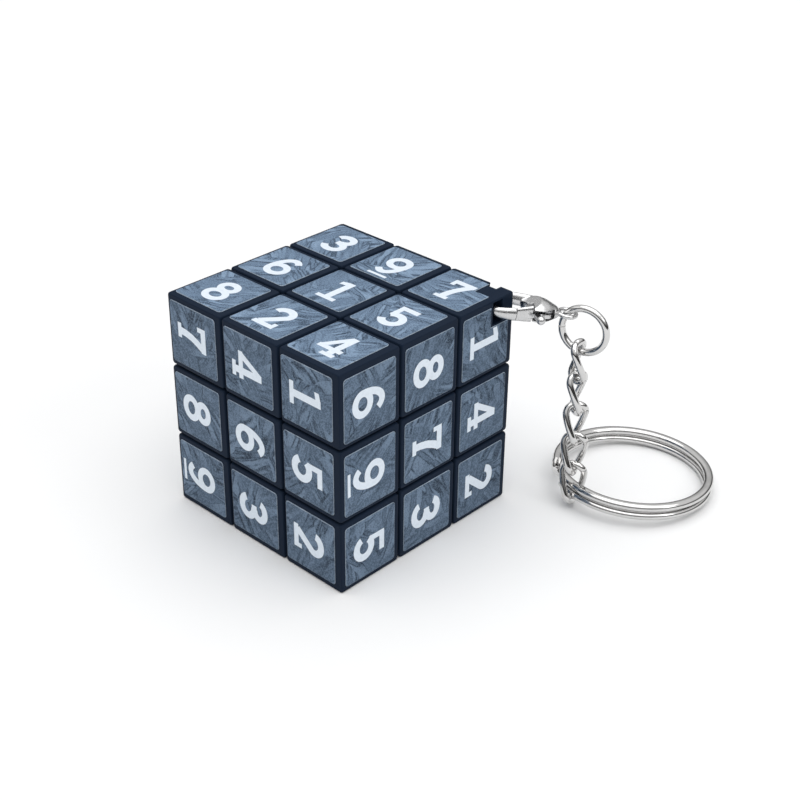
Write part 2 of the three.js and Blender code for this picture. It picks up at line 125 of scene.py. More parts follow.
# %% Finishes
class Finish:
    """A material built around one Principled shader. Constants sit on the shader's own sockets."""

    def __init__(self, name, **constants):
        self.material = bpy.data.materials.new(name)
        self.material.use_nodes = True
        self.tree = self.material.node_tree
        self.shader = self.tree.nodes["Principled BSDF"]
        for socket, value in constants.items():
            self.shader.inputs[socket.replace("_", " ")].default_value = value

    def feed(self, socket, value):
        """Links a wire to a socket, or sets the socket to a plain value."""
        if isinstance(value, Wire):
            self.tree.links.new(value.socket, socket)
        else:
            socket.default_value = value

    def node(self, kind, settings=None, values=None, output=0):
        """Adds a node, sets it, feeds its sockets and returns one of its outputs."""
        made = self.tree.nodes.new("ShaderNode" + kind)
        for name, value in (settings or {}).items():
            setattr(made, name, value)
        for name, value in (values or {}).items():
            self.feed(made.inputs[name], value)
        return Wire(self, made.outputs[output])

    def place(self):
        """The place on the object, which a pattern keeps when the object moves."""
        return self.node("TexCoord", output="Object")

    def noise(self, where, size_mm, detail=3.0, rough=0.5, output=0):
        """Cloudy noise from 0 to 1, with clouds of about this size."""
        scale = 1 / (size_mm * MM)
        values = {"Vector": where, "Scale": scale, "Detail": detail, "Roughness": rough}
        return self.node("TexNoise", values=values, output=output)

    def between(self, value, low, high, start, end):
        """Maps a value from low..high to start..end, held at both ends."""
        values = {0: value, 1: low, 2: high, 3: start, 4: end}
        return self.node("MapRange", {"clamp": True}, values)

    def blend(self, share, first, second):
        """Mixes two colours."""
        return self.node("Mix", {"data_type": "RGBA"}, {0: share, 6: first, 7: second}, output=2)

    def vector(self, operation, first, second, output="Vector"):
        """Vector maths; a plain number as second value scales the first."""
        values = {0: first, "Scale" if operation == "SCALE" else 1: second}
        return self.node("VectorMath", {"operation": operation}, values, output=output)

    def bump(self, height, depth_mm, strength=1.0):
        """Lets a height tilt the surface in the light."""
        values = {"Height": height, "Distance": depth_mm * MM, "Strength": strength}
        self.feed(self.shader.inputs["Normal"], self.node("Bump", values=values))

    def drive(self, socket, value):
        """Feeds one of the shader's own sockets."""
        self.feed(self.shader.inputs[socket], value)


def rgba(red, green, blue):
    return (red, green, blue, 1.0)


print("a finish starts from the Principled shader")

# %% [markdown]
# ## Moulded plastic
#
# The cubies are injection moulded in a blue-black plastic. Such a surface is never quite even: the
# mould leaves a very fine orange-peel, and handling polishes some parts more than others. A fine
# bump and a slow change of roughness give both, without any picture.

# %% Make the plastics
PLASTIC_CLOUD, PEEL_SIZE, PEEL_DEPTH = 6.0, 0.22, 0.012
HANDLING = 0.06


def plastic(name, dark, light, roughness):
    finish = Finish(name, Specular_IOR_Level=0.04)
    where = finish.place()
    cloud = finish.noise(where, PLASTIC_CLOUD)
    peel = finish.noise(where, PEEL_SIZE, detail=2.0)
    worn, fresh = roughness - HANDLING, roughness + HANDLING
    finish.drive("Base Color", finish.blend(cloud, rgba(*dark), rgba(*light)))
    finish.drive("Roughness", finish.between(cloud, 0.3, 0.7, worn, fresh))
    finish.bump(peel, PEEL_DEPTH, 0.6)
    return finish.material


cube_plastic = plastic("cube_plastic", (0.0085, 0.016, 0.032), (0.011, 0.02, 0.039), 0.42)
core_plastic = plastic("core_plastic", (0.02, 0.021, 0.025), (0.03, 0.031, 0.036), 0.5)
print("plastics:", cube_plastic.name, core_plastic.name)

# %% [markdown]
# ## Embossed foil
#
# The tiles are stickers of grey-blue foil, pressed with short wavy strokes that run a different way
# in each patch. A Voronoi texture picks a direction for each patch, and the surface normal lays it
# flat into the tile. Noise that is squeezed along that direction has long thin hills. Where a hill
# passes one level lies a pressed line, like a contour line on a map, and the hill above it is a
# ridge. The line is painted dark and the ridge bright: partly the foil's pattern, partly painted
# shade in the grooves and a painted highlight on the ridges. A slow noise bends the lines first,
# another says where the pattern is strong, and a fine one strews light and dark grit. Foil that
# faces up gets painted light: its colour is lifted a little there, and dimmed a little on the
# sides, to stand in for the bright ceiling that it catches.

# %% Make the foil of the tiles
PATCH_SIZE, SWAY_SIZE, SWAY_REACH = 6, 6, 2.0
STROKE_SIZE, STROKE_SQUEEZE, STROKE_LEVEL = 0.95, 0.9, 0.48
GRIT_SIZE, BUSY_SIZE, FOIL_DEPTH = 0.2, 4.0, 0.03
# The last two numbers scale the foil's colour on the sides and on top: painted light from above.
SIDE_PAINTED_LIGHT, TOP_PAINTED_LIGHT = 0.97, 1.42


def patch_way(finish, where):
    """A direction for each patch, laid flat into the surface."""
    normal = finish.node("TexCoord", output="Normal")
    values = {"Vector": where, "Scale": 1 / (PATCH_SIZE * MM)}
    patch = finish.node("TexVoronoi", values=values, output="Color")
    way = finish.vector("SUBTRACT", patch, (0.5, 0.5, 0.08))
    stray = finish.vector("DOT_PRODUCT", way, normal, output="Value")
    way = finish.vector("SUBTRACT", way, finish.vector("SCALE", normal, stray))
    return finish.vector("NORMALIZE", way, (0, 0, 0))


def foil(name, groove_shade_and_grit, plain, ridge_highlight_and_grit, roughness):
    finish = Finish(name, Metallic=0.15, Specular_IOR_Level=0.12)
    where = finish.place()
    sway = finish.noise(where, SWAY_SIZE, detail=1.0, output="Color")
    bent = finish.vector("ADD", where, finish.vector("SCALE", sway, SWAY_REACH * MM))
    way = patch_way(finish, bent)
    along = finish.vector("DOT_PRODUCT", way, bent, output="Value") * STROKE_SQUEEZE
    squeezed = finish.vector("SUBTRACT", bent, finish.vector("SCALE", way, along))
    stroke = finish.noise(squeezed, STROKE_SIZE, detail=1.0, rough=0.4)
    grit = finish.noise(where, GRIT_SIZE, detail=1.0)
    busy = finish.between(finish.noise(where, BUSY_SIZE, detail=1.0), 0.4, 0.56, 0.3, 1.0)
    beside = finish.node("Math", {"operation": "ABSOLUTE"}, {0: stroke - STROKE_LEVEL})
    # Painted shade and highlight: the pressed line takes the dark groove colour and the crest the
    # light ridge colour, partly the foil's pattern, partly shade and highlight of the relief.
    line = finish.between(beside, 0.016, 0.055, 1.0, 0.0) * busy
    crest_and_highlight = finish.between(stroke, 0.53, 0.61, 0.0, 1.0) * busy
    base = finish.blend(line, rgba(*plain), rgba(*groove_shade_and_grit))
    base = finish.blend(crest_and_highlight, base, rgba(*ridge_highlight_and_grit))
    base = finish.blend(finish.between(grit, 0.5, 0.62, 0.0, 0.45), base, rgba(*ridge_highlight_and_grit))
    base = finish.blend(finish.between(grit, 0.38, 0.5, 0.4, 0.0), base, rgba(*groove_shade_and_grit))
    # Painted highlight: the colour is scaled up where the surface faces up, and a little down on
    # the sides.
    outward = finish.node("NewGeometry", output="Normal")
    facing = finish.vector("DOT_PRODUCT", outward, (0, 0, 1), output="Value")
    painted_light_by_facing = finish.between(facing, 0.0, 1.0, SIDE_PAINTED_LIGHT, TOP_PAINTED_LIGHT)
    finish.drive("Base Color", finish.vector("SCALE", base, painted_light_by_facing))
    finish.drive("Roughness", roughness + grit * 0.16 - crest_and_highlight * 0.08)
    finish.bump(crest_and_highlight * 0.5 - line + grit * 0.25, FOIL_DEPTH, 0.6)
    return finish.material


# The dark and light colours paint shade in the pressed lines and a highlight on the crests, and
# also give the grit.
tile_foil = foil(
    "tile_foil", (0.03, 0.048, 0.076), (0.107, 0.157, 0.228), (0.183, 0.258, 0.36), 0.45
)
# The rim's paler foil is a painted highlight along the cut edge of each tile.
tile_rim_highlight = foil("tile_rim_highlight", (0.15, 0.19, 0.24), (0.24, 0.29, 0.35), (0.33, 0.39, 0.46), 0.4)
print("foils:", tile_foil.name, tile_rim_highlight.name)

# %% [markdown]
# ## Printed digits
#
# The digits are printed in a slightly bluish white. Print has a faint mottle where the ink lies
# thinner over the pressed strokes.

# %% Make the ink
MOTTLE_SIZE, MOTTLE_DEPTH = 0.5, 0.006


def ink(name, thin, full):
    finish = Finish(name)
    mottle = finish.noise(finish.place(), MOTTLE_SIZE)
    share = finish.between(mottle, 0.3, 0.6, 0.0, 1.0)
    finish.drive("Base Color", finish.blend(share, rgba(*thin), rgba(*full)))
    finish.drive("Roughness", finish.between(mottle, 0.3, 0.7, 0.42, 0.56))
    finish.bump(mottle, MOTTLE_DEPTH, 0.4)
    return finish.material


digit_ink = ink("digit_white", (0.73, 0.81, 0.9), (0.79, 0.87, 0.96))
print("ink:", digit_ink.name)

# %% [markdown]
# ## Nickel plate and spring steel
#
# The clasp, the rings and the links are nickel plated: a bright metal with a slightly warm grey
# and hairline wear. Roughness is what tells the polished wire from the satin casting of the clasp,
# so noise changes it over the surface, stretched into fine scratches.

# %% Make the metals
HAIR_SIZE, HAIR_STRETCH, HAIR_DEPTH = 0.16, 0.18, 0.0025
TARNISH_SIZE = 1.6


def metal(name, dull, bright, smooth, rough):
    finish = Finish(name, Metallic=1.0)
    where = finish.place()
    stretched = finish.node("Mapping", values={"Vector": where, "Scale": (1.0, 1.0, HAIR_STRETCH)})
    hair = finish.noise(stretched, HAIR_SIZE, detail=4.0, rough=0.7)
    tarnish = finish.noise(where, TARNISH_SIZE)
    finish.drive("Base Color", finish.blend(tarnish, rgba(*dull), rgba(*bright)))
    finish.drive("Roughness", finish.between(hair, 0.35, 0.75, smooth, rough))
    finish.bump(hair, HAIR_DEPTH, 0.25)
    return finish.material


nickel = metal("nickel_plate", (0.56, 0.555, 0.55), (0.7, 0.695, 0.69), 0.06, 0.17)
satin = metal("satin_nickel", (0.54, 0.54, 0.545), (0.68, 0.68, 0.685), 0.2, 0.32)
steel = metal("spring_steel", (0.42, 0.43, 0.45), (0.58, 0.59, 0.61), 0.2, 0.38)
print("metals:", nickel.name, satin.name, steel.name)

# %% [markdown]
# ## Working by hand in code
#
# Blender's operators act on whatever is selected. The loader leaves the CAD nodes selected, so
# each helper below first deselects everything. When a piece is done, its place is applied, and its
# object sits unturned at the origin.

# %% Placing pieces and adding shapes
def only(*pieces):
    """Selects these pieces and nothing else. The first is the active one."""
    bpy.ops.object.select_all(action="DESELECT")
    for piece in pieces:
        piece.select_set(True)
    bpy.context.view_layer.objects.active = pieces[0]


def apply_place(piece):
    """Moves a piece's place, turn and scale into its mesh."""
    only(piece)
    bpy.ops.object.transform_apply(location=True, rotation=True, scale=True)
    return piece


def moved(piece, matrix):
    """Puts a piece where a matrix in millimetres says, and applies it."""
    place = matrix.copy()
    place.translation *= MM
    piece.matrix_world = place @ piece.matrix_world
    return apply_place(piece)


def block(low, high):
    """A box between two corners."""
    size = [b - a for a, b in zip(low, high)]
    middle = [(a + b) / 2 for a, b in zip(low, high)]
    bpy.ops.object.select_all(action="DESELECT")
    bpy.ops.mesh.primitive_cube_add(
        size=1, location=[v * MM for v in middle], scale=[v * MM for v in size]
    )
    return apply_place(bpy.context.object)


def bar(radius, bottom, top, x=0.0, y=0.0, tip=None, sides=48):
    """An upright round bar, or a cone where the tip has a radius of its own."""
    bpy.ops.object.select_all(action="DESELECT")
    bpy.ops.mesh.primitive_cone_add(
        vertices=sides, radius1=radius * MM, radius2=(radius if tip is None else tip) * MM,
        depth=(top - bottom) * MM, location=(x * MM, y * MM, (top + bottom) / 2 * MM),
    )
    return apply_place(bpy.context.object)


print("shapes are given in millimetres and made in metres")

# %% Finishing, joining and copying pieces
def finish_with(piece, kind, **settings):
    """Adds one modifier, sets it and applies it."""
    modifier = piece.modifiers.new(kind.lower(), kind)
    for name, value in settings.items():
        setattr(modifier, name, value)
    only(piece)
    bpy.ops.object.modifier_apply(modifier=modifier.name)
    return piece


def cut_away(piece, cutter):
    """Takes the cutter's shape out of a piece, and removes the cutter."""
    finish_with(piece, "BOOLEAN", operation="DIFFERENCE", object=cutter, solver="EXACT")
    bpy.data.objects.remove(cutter, do_unlink=True)


def joined(name, *pieces):
    only(*pieces)
    bpy.ops.object.join()
    piece = bpy.context.object
    piece.name = piece.data.name = name
    return piece


def smooth(piece, degrees=40):
    only(piece)
    bpy.ops.object.shade_smooth_by_angle(angle=math.radians(degrees))
    return piece


def paint(piece, *finishes):
    piece.data.materials.clear()
    for finish in finishes:
        piece.data.materials.append(finish)


def copy_of(piece, name):
    """A copy with a mesh of its own."""
    copy = bpy.data.objects.new(name, piece.data.copy())
    bpy.context.scene.collection.objects.link(copy)
    return copy


def show_fit(piece, node):
    """Prints how far the piece's box departs from the CAD node's box."""
    corners = [Vector(c) for c in piece.bound_box]
    low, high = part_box(node)
    apart = [abs(min(c[i] for c in corners) - low[i]) for i in range(3)]
    apart += [abs(max(c[i] for c in corners) - high[i]) for i in range(3)]
    faces = len(piece.data.polygons)
    print(f"{piece.name}: {faces} faces, {max(apart) / MM:.2f} mm from the CAD box")


def stand_for(piece, node, body, finish):
    """Paints a piece and lets it stand for a CAD node, on the body that carries the node."""
    paint(piece, finish)
    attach(piece, body)
    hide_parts(node)
    show_fit(piece, node)


# %% [markdown]
# ## The cubies
#
# Each cubie is a moulded block with a foot inside that holds it in the cube. The CAD solid has the
# right form, with its rounding cut in a few flats. A copy keeps the form: doubles are merged, flat
# triangles are dissolved to whole faces, and a bevel turns the flats into a soft round. The outer
# faces drop by the thickness of a tile, so that the tile's face comes up to the CAD's size.

# %% Soften the cubies
PITCH = 2 * HALF / 3
TILE_DROP = 0.12
FLAT_ANGLE, ROUND_ANGLE, SMOOTH_ANGLE = 2, 18, 35
ROUND_WIDTH = 0.13
SAME_PLACE, SAME_POINT = 0.01, 1e-7
SIDES = {0: ("left", "", "right"), 1: ("front", "", "back"), 2: ("bottom", "", "top")}


def cubie_name(cell):
    """The CAD name of the cubie in a cell, from its steps along X, Y and Z."""
    words = [SIDES[axis][step + 1] for axis, step in ((2, cell[2]), (1, cell[1]), (0, cell[0]))]
    words = [word for word in words if word]
    kind = {1: "centre", 2: "edge", 3: "corner"}[len(words)]
    name = "_".join([kind] + words)
    return name + "_lug" if name == "corner_top_back_right" else name


def soften(node, name):
    """A copy of a CAD cubie with its outer faces dropped and its edges rounded."""
    piece = copy_of(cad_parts[node], name)
    only(piece)
    bpy.ops.object.mode_set(mode="EDIT")
    bpy.ops.mesh.select_all(action="SELECT")
    bpy.ops.mesh.remove_doubles(threshold=SAME_POINT)
    bpy.ops.mesh.dissolve_limited(angle_limit=math.radians(FLAT_ANGLE))
    bpy.ops.object.mode_set(mode="OBJECT")
    for axis in range(3):
        for side in (-1, 1):
            outer = [
                abs((v.co / MM - CUBE_CENTRE)[axis] - side * HALF) < SAME_PLACE
                for v in piece.data.vertices
            ]
            if not any(outer):
                continue
            bpy.ops.object.mode_set(mode="EDIT")
            bpy.ops.mesh.select_all(action="DESELECT")
            bpy.ops.object.mode_set(mode="OBJECT")
            for vertex, chosen in zip(piece.data.vertices, outer):
                vertex.select = chosen
            bpy.ops.object.mode_set(mode="EDIT")
            move = [0.0, 0.0, 0.0]
            move[axis] = -side * TILE_DROP * MM
            bpy.ops.transform.translate(value=move)
            bpy.ops.object.mode_set(mode="OBJECT")
    finish_with(
        piece, "BEVEL", width=ROUND_WIDTH * MM, segments=2, limit_method="ANGLE",
        angle_limit=math.radians(ROUND_ANGLE), use_clamp_overlap=True, harden_normals=False,
    )
    return smooth(piece, SMOOTH_ANGLE)


STEPS = (-1, 0, 1)
CELLS = [(x, y, z) for z in STEPS for y in STEPS for x in STEPS if (x, y, z) != (0, 0, 0)]
bodies = {}
for cell in CELLS:
    node = cubie_name(cell)
    bodies[cell] = node
    if node.startswith("centre"):
        bodies[cell] = node.replace("centre_", "") + "_centre"
        node = node.replace("centre_", "centre_cap_")
    stand_for(soften(node, node + "_soft"), node, bodies[cell], cube_plastic)

# %% [markdown]
# ## The digits
#
# The digits are bold with square serifs. Each is drawn from a few plain strokes: bars, polygons and
# bent bands, with places across and up from the digit's middle. The strokes overlap, so a
# triangulation that knows which triangle lies in which stroke joins them to one flat shape, which
# is then extruded to the thickness of the ink.

# %% Draw the strokes of each digit
STEM, OPEN_STEM = 1.15, 1.25
TOP = 3.2
DIGIT_SCALE = 0.94


def rectangle(left, bottom, right, top):
    return [[(left, bottom), (right, bottom), (right, top), (left, top)]]


def bow(centre, radii, start, end, steps=28):
    """Points on an oval, from one angle to another."""
    angles = [math.radians(start + (end - start) * i / steps) for i in range(steps + 1)]
    (x, y), (wide, high) = centre, radii
    return [(x + wide * math.cos(a), y + high * math.sin(a)) for a in angles]


def band(points, width=STEM):
    """A bent band of even width, as one quad for each step."""
    places = [Vector(p) for p in points]
    offsets = []
    for index in range(len(places)):
        before, after = places[max(index - 1, 0)], places[min(index + 1, len(places) - 1)]
        if points[0] == points[-1] and index in (0, len(places) - 1):
            before, after = places[-2], places[1]
        along = (after - before).normalized()
        offsets.append(Vector((-along.y, along.x)) * width / 2)
    left = [p + o for p, o in zip(places, offsets)]
    right = [p - o for p, o in zip(places, offsets)]
    quads = zip(right, right[1:], left[1:], left)
    return [[tuple(corner) for corner in quad] for quad in quads]


def oval(centre, radii):
    """A whole oval, whose last point is its first."""
    ring = bow(centre, radii, 0, 360, 44)
    return ring[:-1] + [ring[0]]


SIX = band(oval((0, -1.18), (1.68, 1.5))) + band(bow((0.35, -0.95), (2.02, 3.62), 52, 181))
DIGITS = {
    1: rectangle(-0.5, -TOP, 0.73, TOP) + rectangle(-1.75, -TOP, 2.0, -2.35)
    + [[(-1.7, 1.95), (-0.3, 2.2), (-0.3, TOP), (-1.7, 2.85)]],
    2: band(bow((0, 1.3), (1.57, 1.33), 172, -28) + [(-1.35, -2.45)], OPEN_STEM)
    + rectangle(-2.1, -TOP, 2.1, -2.25) + rectangle(1.3, -TOP, 2.1, -1.6),
    3: band(bow((0, 1.42), (1.5, 1.18), 168, -90), OPEN_STEM)
    + band(bow((0, -1.25), (1.68, 1.35), 90, -168), OPEN_STEM) + rectangle(-0.65, -0.4, 0.2, 0.74),
    4: rectangle(0.36, -TOP, 1.52, TOP) + rectangle(-0.35, -TOP, 2.2, -2.4)
    + rectangle(-2.3, -1.72, 2.3, -0.8) + [[(-2.3, -1.1), (-1.1, -1.1), (1.4, TOP), (0.36, TOP)]],
    5: rectangle(-1.6, 2.2, 1.9, TOP) + rectangle(-1.6, 0.05, -0.65, TOP)
    + band(bow((-0.05, -1.06), (1.64, 1.53), 140, -160), OPEN_STEM),
    6: SIX,
    7: rectangle(-2.1, 2.15, 2.1, TOP) + rectangle(-2.1, 1.4, -1.3, TOP)
    + band([(1.5, 2.65), (0.75, 1.3), (0.2, 0.0), (-0.1, -1.4), (-0.2, -2.9)], OPEN_STEM)
    + rectangle(-1.45, -TOP, 1.05, -2.4),
    8: band(oval((0, 1.5), (1.46, 1.18))) + band(oval((0, -1.28), (1.72, 1.4))),
    9: [[(-x, -y) for x, y in quad] for quad in SIX] + rectangle(-1.95, -4.3, 1.95, -3.75),
}
print("strokes:", {number: len(strokes) for number, strokes in DIGITS.items()})

# %% Make the digits solid
INK_THICKNESS = 0.03


def digit_piece(number):
    """Joins the strokes of a digit to one shape and gives it the thickness of the ink."""
    corners = [Vector(p) for quad in DIGITS[number] for p in quad]
    faces, start = [], 0
    for quad in DIGITS[number]:
        faces.append(list(range(start, start + len(quad))))
        start += len(quad)
    points, _, triangles, _, _, inside = delaunay_2d_cdt(corners, [], faces, 0, 1e-4)
    kept = [triangle for triangle, strokes in zip(triangles, inside) if strokes]
    mesh = bpy.data.meshes.new(f"digit_{number}")
    size = DIGIT_SCALE * MM
    mesh.from_pydata([(p.x * size, p.y * size, 0) for p in points], [], kept)
    piece = bpy.data.objects.new(f"digit_{number}", mesh)
    bpy.context.scene.collection.objects.link(piece)
    only(piece)
    bpy.ops.object.mode_set(mode="EDIT")
    bpy.ops.mesh.select_all(action="SELECT")
    bpy.ops.mesh.delete_loose()
    bpy.ops.mesh.select_all(action="SELECT")
    bpy.ops.mesh.remove_doubles(threshold=1e-6)
    bpy.ops.mesh.extrude_region_move(TRANSFORM_OT_translate={"value": (0, 0, INK_THICKNESS * MM)})
    bpy.ops.mesh.select_all(action="SELECT")
    bpy.ops.mesh.normals_make_consistent(inside=False)
    bpy.ops.object.mode_set(mode="OBJECT")
    paint(piece, digit_ink)
    return piece


digit_pieces = {number: digit_piece(number) for number in DIGITS}
print("digits:", {number: len(piece.data.polygons) for number, piece in digit_pieces.items()})

# %% [markdown]
# ## The tiles
#
# A tile is a square of foil with round corners and a cut rim. One tile is modelled from a cube:
# the four upright edges are bevelled to round corners, then the upper rim is bevelled a little,
# and that rim takes a paler foil, a painted highlight along the edge of the tile.

# %% Model one tile
TILE_WIDTH = 9.8
TILE_ROUND = 0.5
TILE_THICKNESS = 0.1
RIM_WIDTH = 0.07


def pick_edges(piece, test):
    """Selects the edges whose two ends pass a test, and nothing else, in edit mode."""
    bpy.ops.object.mode_set(mode="EDIT")
    bpy.ops.mesh.select_all(action="DESELECT")
    bpy.ops.mesh.select_mode(type="EDGE")
    bpy.ops.object.mode_set(mode="OBJECT")
    for edge in piece.data.edges:
        ends = [piece.data.vertices[i].co / MM for i in edge.vertices]
        edge.select = test(*ends)
    bpy.ops.object.mode_set(mode="EDIT")


def rimmed(piece):
    """Bevels the upper rim and gives its faces the second finish, a paler foil painted as a
    highlight.
    """
    def upper(a, b):
        return min(a.z, b.z) > TILE_THICKNESS - 0.001

    pick_edges(piece, upper)
    bpy.ops.mesh.bevel(offset=RIM_WIDTH * MM, segments=2, affect="EDGES", material=1)
    bpy.ops.object.mode_set(mode="OBJECT")
    return piece


def tile_blank():
    reach = TILE_WIDTH / 2
    piece = block((-reach, -reach, 0), (reach, reach, TILE_THICKNESS))
    only(piece)
    pick_edges(piece, lambda a, b: abs(a.z - b.z) > TILE_THICKNESS / 2)
    bpy.ops.mesh.bevel(offset=TILE_ROUND * MM, segments=6, affect="EDGES")
    bpy.ops.object.mode_set(mode="OBJECT")
    paint(piece, tile_foil, tile_rim_highlight)
    return piece


plain_tile = rimmed(tile_blank())
plain_tile.name = "plain_tile"
print("tile:", len(plain_tile.data.polygons), "faces")

# %% [markdown]
# ## Tiles on every face
#
# Nine tiles go on each of the six faces. Three of the digit tables are read from the photograph,
# and the three hidden faces get an order of their own. Stickers are laid by hand or by a simple
# machine, so those of the visible faces sit a little off the middle. All digits are printed a
# little low on their stickers, but the 7 of the front face sits higher. At the lug, each tile has a
# square notch, so that the clasp's hook can pass. All tiles of one cubie become one piece, which
# rides with it.

# %% What each face shows
X, Y, Z = Vector((1, 0, 0)), Vector((0, 1, 0)), Vector((0, 0, 1))
FACES = {
    "top": (Z, Y, X, -Y, ("397", "615", "824")),
    "front": (-Y, X, X, -Z, ("741", "865", "932")),
    "right": (X, Y, Y, -Z, ("681", "974", "532")),
    "back": (Y, Z, -X, -Z, ("294", "753", "618")),
    "left": (-X, Z, -Y, -Z, ("816", "357", "492")),
    "bottom": (-Z, Y, -X, -Y, ("438", "951", "276")),
}
TILE_SHIFT = {"front": -0.4 * X, "top": 0.09 * Y - 0.38 * X, "right": -0.1 * Y - 0.15 * Z}
DIGIT_DROP = 0.3
DIGIT_SHIFT = {("front", "7"): 0.5 * Z}
LUG_CELL = (1, 1, 1)
LUG_CORNER = CUBE_CENTRE + HALF * Vector(LUG_CELL)
LUG_NOTCH = {
    "top": Vector((4, 4, 0)), "right": Vector((0, 4.9, 4.2)), "back": Vector((4.9, 0, 4.2)),
}
print("rows of digits:", {face: look[-1] for face, look in FACES.items()})

# %% Lay the tiles
def notched_tile(place, out, notch):
    """A tile with a square notch at the lug."""
    tile = tile_blank()
    to_tile = place.inverted()
    ends = [to_tile @ (LUG_CORNER + out), to_tile @ (LUG_CORNER - notch - out)]
    spans = list(zip(*ends))
    cut_away(tile, block([min(span) for span in spans], [max(span) for span in spans]))
    return rimmed(tile)


sunk = TILE_DROP - TILE_THICKNESS + INK_THICKNESS / 2
tiles = {cell: [] for cell in CELLS}
for face, (out, up, across, down, rows) in FACES.items():
    facing = Matrix((up.cross(out), up, out)).transposed().to_4x4()
    for row, digits in enumerate(rows):
        for column, digit in enumerate(digits):
            step = across * (column - 1) + down * (row - 1) + out
            cell = tuple(round(v) for v in step)
            middle = CUBE_CENTRE + step * PITCH + out * (HALF - PITCH)
            middle += TILE_SHIFT.get(face, Vector())
            if cell == LUG_CELL:
                tile = notched_tile(Matrix.Translation(middle) @ facing, out, LUG_NOTCH[face])
            else:
                tile = copy_of(plain_tile, "tile")
            moved(tile, Matrix.Translation(middle - out * TILE_DROP) @ facing)
            number = copy_of(digit_pieces[int(digit)], "number")
            spot = middle - out * sunk - up * DIGIT_DROP + DIGIT_SHIFT.get((face, digit), Vector())
            moved(number, Matrix.Translation(spot) @ facing)
            tiles[cell] += [tile, number]
for cell, pieces in tiles.items():
    piece = joined("tiles_" + cubie_name(cell), *pieces)
    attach(piece, bodies[cell])
for spare in [plain_tile, *digit_pieces.values()]:
    bpy.data.objects.remove(spare, do_unlink=True)
print("tiles on", len(tiles), "cubies")

# %% [markdown]
# ## The lobster clasp
#
# The clasp is cast in one piece: a domed body, a hook that goes round the lug's post and an eye for
# the jump ring. The dome starts as a profile that is spun about its length and flattened. Blocks
# and bars cut the throat, the mouth and the slot, and one slanting cut lets the dome run down to
# its arms. The hook gets thinner towards its bend. The eye loses a little to polishing, which keeps
# it clear of the ring that swings in it. Then hook and eye are joined on, and a fine voxel remesh
# with some smoothing melts everything to one soft casting.

# %% Place of the clasp
LUG_PLACE = Vector((16.3, 16.3, 32.777))
CLASP_TURN, CLASP_TILT, CLASP_REACH = 45, 8.5, 9.6
HOOK_WIRE, HOOK_RADIUS, HOOK_TIP, HOOK_TAPER = 1.2, 2.597, 1.5, 0.4
THROAT, THROAT_RADIUS = 3.6, 1.997
BODY_WIDTH, BODY_HEIGHT, BODY_DEPTH = 5.4, 1.7, 1.15
EYE_WIRE, EYE_RADIUS, EYE_POLISH = 0.8, 1.3, 0.07
GATE_PIVOT = Vector((6.3, -1, 0))
GATE_REST, GATE_LENGTH, GATE_ROOT = 19.54, 4.775, 2.5
SEAM = 0.15
clasp_place = Matrix.Translation(LUG_PLACE) @ turned("Z", CLASP_TURN) @ turned("Y", CLASP_TILT)
gate_place = Matrix.Translation(GATE_PIVOT) @ turned("Z", GATE_REST)
print("clasp at", [round(v, 2) for v in LUG_PLACE])

# %% Draw wire and melt castings
def wire(name, points, radius, closed=False, section=None, smooth_path=False):
    """A round wire, or one with a section of its own, along points in millimetres."""
    curve = bpy.data.curves.new(name, "CURVE")
    curve.dimensions = "3D"
    spline = curve.splines.new("BEZIER" if smooth_path else "POLY")
    if smooth_path:
        spline.bezier_points.add(len(points) - 1)
        for knot, point in zip(spline.bezier_points, points):
            knot.co = Vector(point) * MM
            knot.handle_left_type = knot.handle_right_type = "AUTO"
        spline.resolution_u = 10
    else:
        spline.points.add(len(points) - 1)
        for knot, point in zip(spline.points, points):
            knot.co = (*(Vector(point) * MM), 1)
    spline.use_cyclic_u = closed
    if section is None:
        curve.bevel_depth = radius * MM
        curve.bevel_resolution = 7
    else:
        curve.bevel_mode = "OBJECT"
        curve.bevel_object = section
        curve.twist_mode = "Z_UP"
    curve.use_fill_caps = not closed
    piece = bpy.data.objects.new(name, curve)
    bpy.context.scene.collection.objects.link(piece)
    only(piece)
    bpy.ops.object.convert(target="MESH")
    piece = bpy.context.object
    bpy.ops.object.mode_set(mode="EDIT")
    bpy.ops.mesh.select_all(action="SELECT")
    bpy.ops.mesh.remove_doubles(threshold=SAME_POINT)
    bpy.ops.mesh.normals_make_consistent(inside=False)
    bpy.ops.object.mode_set(mode="OBJECT")
    return piece


def cast(piece, voxel_mm, passes):
    """Melts joined shells to one skin and polishes it."""
    finish_with(piece, "REMESH", mode="VOXEL", voxel_size=voxel_mm * MM)
    finish_with(piece, "SMOOTH", factor=0.5, iterations=passes)
    only(piece)
    bpy.ops.object.shade_smooth()
    return piece


print("wire of the hook and the eye in mm:", HOOK_WIRE, EYE_WIRE)

# %% Spin the dome and cut it
DOME_START = THROAT - HOOK_WIRE
DOME_LENGTH = CLASP_REACH - EYE_RADIUS + EYE_WIRE / 4 - DOME_START
DOME_PROFILE = (
    (0, 0), (0.05, 0.5), (0.18, 0.86), (0.38, 1), (0.6, 0.93), (0.8, 0.66), (0.95, 0.36), (1, 0),
)
FAR, TALL = 2 * CLASP_REACH, 2 * BODY_HEIGHT
MOUTH_END, MOUTH_SIDE = 4.39, -0.21
SLOT_END, SLOT_SIDE, SLOT_FLOOR, SLOT_ROOF = 7.5, 0.2, -0.75, 0.775
SLOPE_START, SLOPE_ANGLE = Vector((4.0, 0, 0.85)), 28

